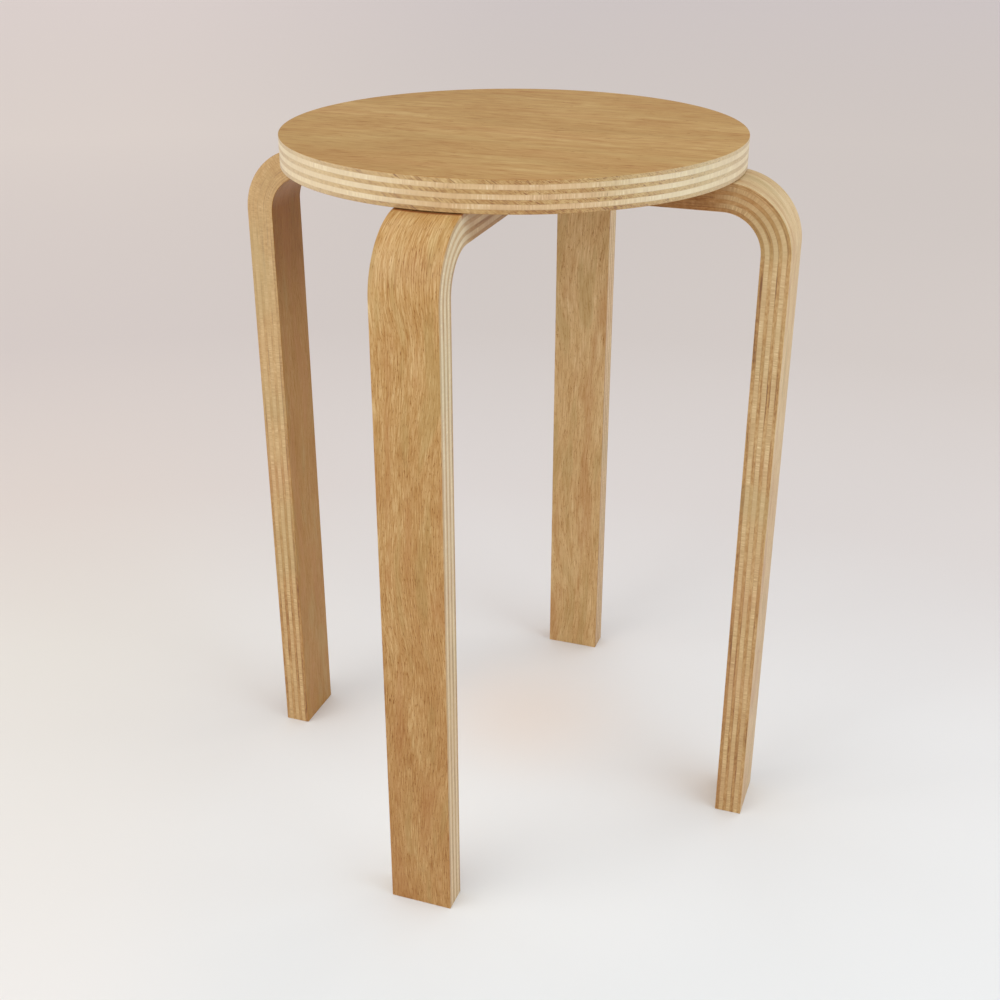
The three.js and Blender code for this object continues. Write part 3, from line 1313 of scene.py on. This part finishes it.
    def mesh(self) -> bpy.types.Mesh:
        """The leg along +X, drilled, with the grain and the bleach that all four legs start from.

        Only what faces along the strip at its ends is bleached, and not its face veneers.

        Returns:
            The mesh.
        """
        mesh = cut_out(self.blank(), [self.drill(reach) for reach in self.hole_reaches])
        place, facing = triples(mesh.vertices, "co"), triples(mesh.vertex_normals, "vector")
        along, depth = self.unbend(place)
        across = place[:, 1]
        outside = (depth < self.support) | (depth > self.thickness - self.support)
        end = (along < self.support) | (along > self.length - self.support)
        bleach = np.where(end & ~outside, 1.0, 0.0) * (np.abs(facing[:, 1]) < self.end_lean)
        set_grain(mesh, np.stack([along, across, depth], axis=-1), bleach)
        return mesh

    def dress(
        self, finish: bpy.types.Material, mesh: bpy.types.Mesh, side: Side, wood: LegWood
    ) -> bpy.types.Object:
        """Turns a copy of the leg to its side, and cuts it from its own stretch of the veneer.

        Args:
            finish: the legs' material.
            mesh: the leg along +X.
            side: where it goes.
            wood: how its wood looks.

        Returns:
            The piece.
        """
        node = f"leg_{side.label}"
        copy = placed(mesh, node, (0, 0, 0), side.value)
        grain, bleach = copy.attributes[GRAIN].data, copy.attributes[BLEACH].data
        moved = triples(grain, "vector") + np.array(self.stretch) * side.value
        grain.foreach_set("vector", moved.ravel())
        values = np.empty(len(moved))
        bleach.foreach_get("value", values)
        bleach.foreach_set("value", np.maximum(values, wood.sanding))
        values[:] = wood.flitch
        copy.attributes.new(FLITCH, "FLOAT", "POINT").data.foreach_set("value", values)
        return finished(f"bent_{node}", copy, finish, node, WOOD_CREASE)


def middle_of(node: str) -> tuple[float, float]:
    """Where the middle of a CAD node lies, seen from above."""
    low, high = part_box(node)
    return (low.x + high.x) / 2, (low.y + high.y) / 2


def thread(heights: Points, columns: int, pitch: float) -> Points:
    """A helix's height over the root, from 0 to 1: a triangle wave that climbs a pitch in each turn.

    Args:
        heights: the rows' heights.
        columns: how many points a row has.
        pitch: the thread's pitch.

    Returns:
        Rows by columns of heights over the root.
    """
    phase = heights[:, None] / pitch - np.arange(columns)[None, :] / columns
    return 1 - np.abs(2 * (phase - np.floor(phase)) - 1)


@dataclass
class CountersunkBolt:
    """An M6 bolt with a countersunk head and a hexagon socket, head down.

    The floor share is what the socket's bevelled floor keeps of its width, and the face share
    puts a ring on the head's flat face, which keeps its shading level.
    """

    face: float
    tip: float
    head_radius: float
    shank_radius: float = 0.003
    head_rim: float = 0.0003
    socket_flats: float = 0.004
    socket_depth: float = 0.0024
    drill_point: float = 0.0008
    socket_chamfer: float = 0.0002
    pitch: float = 0.001
    thread_depth: float = 0.00061
    neck: float = 0.002
    floor_share: float = 0.9
    face_share: float = 0.8
    columns: int = 48
    rows_per_pitch: int = 8

    def mesh(self) -> bpy.types.Mesh:
        """The bolt on the Z axis: one grid from the socket's floor over the head to the tip.

        The socket's radius at angle a is half its width over the cosine of a's distance from the
        middle of the nearest flat. The shank's radius is its own less the thread's depth times
        what the thread lacks of its crest.

        Returns:
            The mesh.
        """
        turn = 2 * math.pi * np.arange(self.columns) / self.columns
        sixth = math.pi / 3
        hexagon = self.socket_flats / 2 / np.cos((turn % sixth) - sixth / 2)
        rim = np.full(self.columns, self.head_radius)
        ease = self.head_rim / 2
        floor = self.face + self.socket_depth
        socket = [
            (hexagon * self.floor_share, floor + self.drill_point / 4),
            (hexagon, floor),
            (hexagon, self.face + self.socket_chamfer),
            (hexagon + self.socket_chamfer, self.face),
        ]
        cone_top = self.face + self.head_rim + self.head_radius - self.shank_radius
        head = [
            (rim * self.face_share, self.face),
            (rim - ease, self.face),
            (rim - ease / 4, self.face + ease / 4),
            (rim, self.face + ease),
            (rim, self.face + self.head_rim),
            (np.full(self.columns, self.shank_radius), cone_top),
        ]
        start, end = cone_top + self.neck, self.tip
        count = int(round((end - start) / self.pitch * self.rows_per_pitch)) + 1
        heights = np.linspace(start, end, count)
        fade = np.clip((heights - start) / self.pitch, 0, 1)[:, None]
        groove = (1 - thread(heights, self.columns, self.pitch)) * fade
        shank = self.shank_radius - self.thread_depth * groove
        chamfer = self.shank_radius - self.thread_depth - self.pitch / 4 + (end - heights)[:, None]
        shank = np.minimum(shank, chamfer)
        radii = np.vstack([radius for radius, _ in socket + head] + [shank])
        levels = np.concatenate([[height for _, height in socket + head], heights])
        return revolved("bolt", radii, levels, (floor + self.drill_point, self.tip))


@dataclass
class ThreadedInsert:
    """A sleeve with a coarse wood thread outside and an M6 thread inside, open at both ends."""

    foot: float
    top: float
    radius: float
    bore_radius: float = 0.0033
    chamfer: float = 0.0005
    wood_pitch: float = 0.002
    wood_depth: float = 0.0006
    pitch: float = 0.001
    thread_depth: float = 0.0003
    columns: int = 48
    rows_per_pitch: int = 8

    def mesh(self) -> bpy.types.Mesh:
        """The sleeve on the Z axis: one grid up the outside and down the bore, which closes on itself.

        Returns:
            The mesh.
        """
        low, high = self.foot + self.chamfer, self.top - self.chamfer
        count = int(round((high - low) / self.pitch * self.rows_per_pitch)) + 1
        rising = np.linspace(low, high, count)
        ends = np.minimum((rising - low), (high - rising)) / self.chamfer
        fade = np.clip(ends, 0, 1)[:, None]
        groove = (1 - thread(rising, self.columns, self.wood_pitch)) * fade
        outside = self.radius - self.wood_depth * groove
        falling = rising[::-1]
        crest = thread(falling, self.columns, self.pitch) * fade[::-1]
        inside = self.bore_radius + self.thread_depth * crest
        mouth = np.full((1, self.columns), self.bore_radius)
        shoulder = np.full((1, self.columns), self.radius - self.chamfer)
        radii = np.vstack([mouth, shoulder, outside, shoulder, mouth, inside])
        levels = np.concatenate([[self.foot] * 2, rising, [self.top] * 2, falling])
        return revolved("insert", radii, levels, None)


@dataclass
class Hardware:
    """The bolts and inserts, two of each in every arm, and how each is plated."""

    bolt: ZincPlate = ZincPlate(Plate.BLACK, 0.38)
    insert: ZincPlate = ZincPlate(Plate.BRIGHT, 0.3)

    def dress(self) -> None:
        """Makes every bolt and its insert."""
        kinds = (
            ("bolt", "socket", CountersunkBolt, self.bolt.material("bolt_steel")),
            ("insert", "threaded", ThreadedInsert, self.insert.material("insert_steel")),
        )
        for side, place, (kind, adjective, model, finish) in product(Side, BoltPlace, kinds):
            node = f"{kind}_{side.label}_{place.value}"
            low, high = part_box(node)
            mesh = model(low.z, high.z, (high.x - low.x) / 2).mesh()
            mesh = placed(mesh, node, (*middle_of(node), 0), 0)
            finished(f"{adjective}_{node}", mesh, finish, node, STEEL_CREASE)


# The studio


@dataclass(frozen=True)
class Lamp:
    """A softbox that faces the stool."""

    name: str
    place: tuple[float, float, float]
    size: float
    power: float
    colour: str

    def hang(self, target: Vector) -> None:
        """Puts the lamp in the scene, turned towards a point.

        Args:
            target: the point.
        """
        data = bpy.data.lights.new(self.name, "AREA")
        data.shape = "DISK"
        data.size = self.size
        data.energy = self.power
        data.color = tint(self.colour)[:3]
        lamp = bpy.data.objects.new(self.name, data)
        lamp.location = self.place
        lamp.rotation_euler = (target - lamp.location).to_track_quat("-Z", "Y").to_euler()
        lamp.visible_camera = False
        bpy.context.scene.collection.objects.link(lamp)


@dataclass(frozen=True)
class Viewpoint:
    """The camera, as a fit to the photograph's edges gives it.

    Distance and height are in metres, angles in degrees, lens and sensor in millimetres.
    """

    distance: float = 0.8459
    height: float = 0.6090
    bearing: float = 18.924
    pan: float = -0.5535
    pitch: float = 25.6426
    lens: float = 50.08
    sensor: float = 36.0
    nearest: float = 0.01

    def place(self) -> None:
        """Makes the camera and takes it into use."""
        data = bpy.data.cameras.new("camera")
        data.lens = self.lens
        data.sensor_width = self.sensor
        data.clip_start = self.nearest
        camera = bpy.data.objects.new("camera", data)
        bearing = math.radians(self.bearing)
        reach = self.distance
        camera.location = (reach * math.sin(bearing), -reach * math.cos(bearing), self.height)
        heading = bearing - math.radians(self.pan)
        camera.rotation_euler = (QUARTER_TURN - math.radians(self.pitch), 0, heading)
        bpy.context.scene.collection.objects.link(camera)
        bpy.context.scene.camera = camera


@dataclass(frozen=True)
class PaintedLightSpot:
    """A round patch of painted light on the floor, whose tone differs most in its middle and not at all at
    its radius.
    """

    centre: tuple[float, float, float]
    radius: float
    share: float
    colour: str
    how: str


@dataclass(frozen=True)
class Studio:
    """A wide pale floor under a soft sky that is darker near the horizon, with four softboxes.

    Each row of the paint gives a distance from the paint's centre in metres and the colours that
    the floor has there to the left and to the right; the floor's greying with that distance is a
    painted falloff of light. Left holds the sines of the bearings, counted to the right from
    straight back, between which the right colour gives way to the left one. Each row of the sky and
    of the backdrop gives the sine of the height above the horizon, and how bright or what colour it
    is there. The rays are those that see the backdrop, not the sky.
    """

    floor_size: float = 30.0
    sky: tuple[tuple[float, float], ...] = (
        (0.0, 0.15),
        (0.2, 0.36),
        (0.36, 1.3),
        (0.54, 1.22),
        (0.7, 0.66),
        (0.87, 0.66),
        (1.0, 0.66),
    )
    sky_strength: float = 2.0
    sky_colour: str = "#fbfbfb"
    # Painted falloff of light: the floor greys with its distance from the paint's centre.
    paint: tuple[tuple[float, str, str], ...] = (
        (0.5, "#ebe8e6", "#e7e8e9"),
        (0.9, "#e9e4de", "#e9e7e7"),
        (1.2, "#e5dad4", "#e1dad8"),
        (1.7, "#e0d5d1", "#dbd2ce"),
        (3.1, "#f1e5de", "#e5dbd6"),
        (6.0, "#f3e6e2", "#e4dad9"),
    )
    paint_centre: tuple[float, float, float] = (0.1, -0.75, 0.0)
    left: tuple[float, float] = (-0.25, -0.58)
    # Painted light between the feet: a paler spot that softens the stool's shadow, and a warmer one.
    painted_light_spots: tuple[PaintedLightSpot, ...] = (
        PaintedLightSpot((0.01, -0.08, 0.0), 0.22, 0.4, "#ffffff", "MIX"),
        PaintedLightSpot((-0.005, 0.045, 0.0), 0.11, 1.0, "#fff6ef", "MULTIPLY"),
    )
    backdrop: tuple[tuple[float, str], ...] = (
        (0.0, "#d0c6c3"),
        (0.09, "#cbc1be"),
        (0.35, "#8f8987"),
        (0.55, "#8f8987"),
        (0.8, "#ffffff"),
    )
    lamps: tuple[Lamp, ...] = (
        Lamp("right_softbox", (0.85, -0.2, 0.95), 0.9, 3.1, "#e4f6ff"),
        Lamp("front_softbox", (-0.45, -0.9, 1.0), 1.3, 2.9, "#fffbf4"),
        Lamp("low_panel", (-1.0, -1.15, 1.1), 1.6, 4.6, "#fffbf4"),
        Lamp("rear_softbox", (0.95, 0.95, 1.1), 0.9, 1.8, "#fffaf4"),
    )
    aim: tuple[float, float, float] = (0.0, 0.0, 0.25)
    rays: tuple[str, str, str] = ("Camera", "Glossy", "Transmission")
    paint_roughness: float = 0.9
    paint_ior: float = 1.2

    def build(self) -> None:
        """Makes the floor, the sky and the lamps."""
        half = self.floor_size / 2
        mesh = bpy.data.meshes.new("floor")
        corners = [(-half, -half, 0), (half, -half, 0), (half, half, 0), (-half, half, 0)]
        mesh.from_pydata(corners, [], [(0, 1, 2, 3)])
        mesh.materials.append(self._floor_paint())
        floor = bpy.data.objects.new("floor", mesh)
        bpy.context.scene.collection.objects.link(floor)
        self._sky()
        for lamp in self.lamps:
            lamp.hang(Vector(self.aim))

    def _floor_paint(self) -> bpy.types.Material:
        """Matt paint that greys with its distance from a point in front of the stool, a painted falloff of
        light.

        It's a little warmer to the left of that point, and paler there far from it. Between the
        feet, where light comes down off the legs, it has painted light: a paler spot that softens the
        stool's shadow, and a warmer one.

        Returns:
            The floor's material.
        """
        shader = Shader("floor_paint")
        place = shader.node("ShaderNodeTexCoord", output="Object")
        beside = place - self.paint_centre
        distance = shader.length(beside)
        reach = self.paint[-1][0]
        left, right = (
            shader.ramp(distance / reach, [(row[0] / reach, tint(row[number])) for row in self.paint])
            for number in (1, 2)
        )
        leftness = shader.band(shader.split(beside)[0] / distance, *self.left)
        paint = shader.blend(leftness, right, left)
        # Painted light spots.
        for spot in self.painted_light_spots:
            share = shader.band(shader.length(place - spot.centre), spot.radius, 0.0) * spot.share
            paint = shader.blend(share, paint, tint(spot.colour), spot.how)
        return shader.surface(Base_Color=paint, Roughness=self.paint_roughness, Ior=self.paint_ior)

    def _sky(self) -> None:
        """Lights the scene softly, and shows a pale backdrop beyond the floor."""
        world = bpy.data.worlds.new("sky")
        world.use_nodes = True
        shader = Shader.of(world.node_tree)
        height = shader.split(shader.node("ShaderNodeTexCoord", output="Generated"))[2]
        colour = np.array(tint(self.sky_colour))
        glow = [(place, tuple(colour * level / self.sky_strength)) for place, level in self.sky]
        sky = {"Color": shader.ramp(height, glow), "Strength": self.sky_strength}
        light = shader.node("ShaderNodeBackground", inputs=sky)
        walls = shader.ramp(height, [(place, tint(code)) for place, code in self.backdrop])
        shown = shader.node("ShaderNodeBackground", inputs={"Color": walls})
        rays = [shader.node("ShaderNodeLightPath", output=f"Is {kind} Ray") for kind in self.rays]
        seen = shader.maths("MAXIMUM", shader.maths("MAXIMUM", rays[0], rays[1]), rays[2])
        mixed = shader.node("ShaderNodeMixShader", inputs={0: seen, 1: light, 2: shown})
        shader.end(mixed, "ShaderNodeOutputWorld")
        bpy.context.scene.world = world


# The stool


SEAT_GRAIN = FaceGrain(
    level=0.5,
    sway=Figure((0.018, 0.03, 0.01), 3.0, 1.0),
    patch=Figure((0.008, 0.02, 0.01), 0.22),
    streak=Figure((0.02, 0.16, 0.3), 0.24, 3.0),
    streak_shown=Figure((0.008, 0.02, 0.02), 1.0, 1.0, band=(-0.3, 0.3)),
    line=Figure((0.08, 0.7, 1.0), 0.26, 3.0, 0.6),
    pore=Figure((0.05, 0.5, 1.0), 0.3, 2.0, 0.6, (0.12, 0.5)),
    hue=Figure((0.006, 0.03, 0.02), 1.4),
    hue_gain=0.2,
)
SEAT_EDGE = SawnEdge(
    dark_level=0.68,
    hatch=Figure((0.08, 0.5, 1.25), 1.0, 2.0, 0.6),
    hatch_dive=0.7,
    hatch_gain=1.16,
    cut_gain=1.45,
    line=Figure((0.025, 0.3, 1.3), 0.3, band=(0.05, 0.5)),
    patch=Figure((0.03, 0.03, 0.1), 0.5),
    tick=Figure((1.3, 0.25, 0.12), 0.95, 2.0, 0.6),
)
SEAT_TONES = VeneerTones(
    dark=("#7a4512", "#9e6b2e", "#b58c4f", "#c8a46a", "#d9bc86"),
    pale=("#ab8459", "#c9a476", "#dcbc8c", "#ecd6b0"),
)
LEG_WOODS = {
    Side.RIGHT: LegWood(0.75, 0.0),
    Side.BACK: LegWood(0.47, 0.15),
    Side.LEFT: LegWood(-0.6, 0.0),
    Side.FRONT: LegWood(0.0, 0.45),
}


def bolt_spots(side: Side) -> list[tuple[float, float]]:
    """Where the bolts of an arm stand, from the frame."""
    return [middle_of(f"bolt_{side.label}_{place.value}") for place in BoltPlace]


def main() -> None:
    """Builds the studio and the stool."""
    logging.basicConfig(level=logging.INFO, format="%(message)s")
    bpy.context.scene.view_settings.view_transform = "Standard"
    Viewpoint().place()
    Studio().build()

    low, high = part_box("seat_panel")
    seat = SeatPanel(high.x, high.z, low.z, [spot for side in Side for spot in bolt_spots(side)])
    seat.dress(Plywood(seat.veneer, SEAT_GRAIN, SEAT_EDGE, SEAT_TONES, face_roughness=0.6))

    low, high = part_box("leg_right")
    leg = BentLeg(
        outer_reach=high.x,
        end_reach=low.x,
        top=high.z,
        width=high.y - low.y,
        hole_reaches=[x for x, _ in bolt_spots(Side.RIGHT)],
    )
    leg_mesh = leg.mesh()
    leg_material = Plywood(leg.thickness / PLIES, wear_and_shade=LegWearAndShade(seat.radius)).material("leg_plywood")
    for side, wood in LEG_WOODS.items():
        leg.dress(leg_material, leg_mesh, side, wood)

    Hardware().dress()


if __name__ == "__main__":
    main()
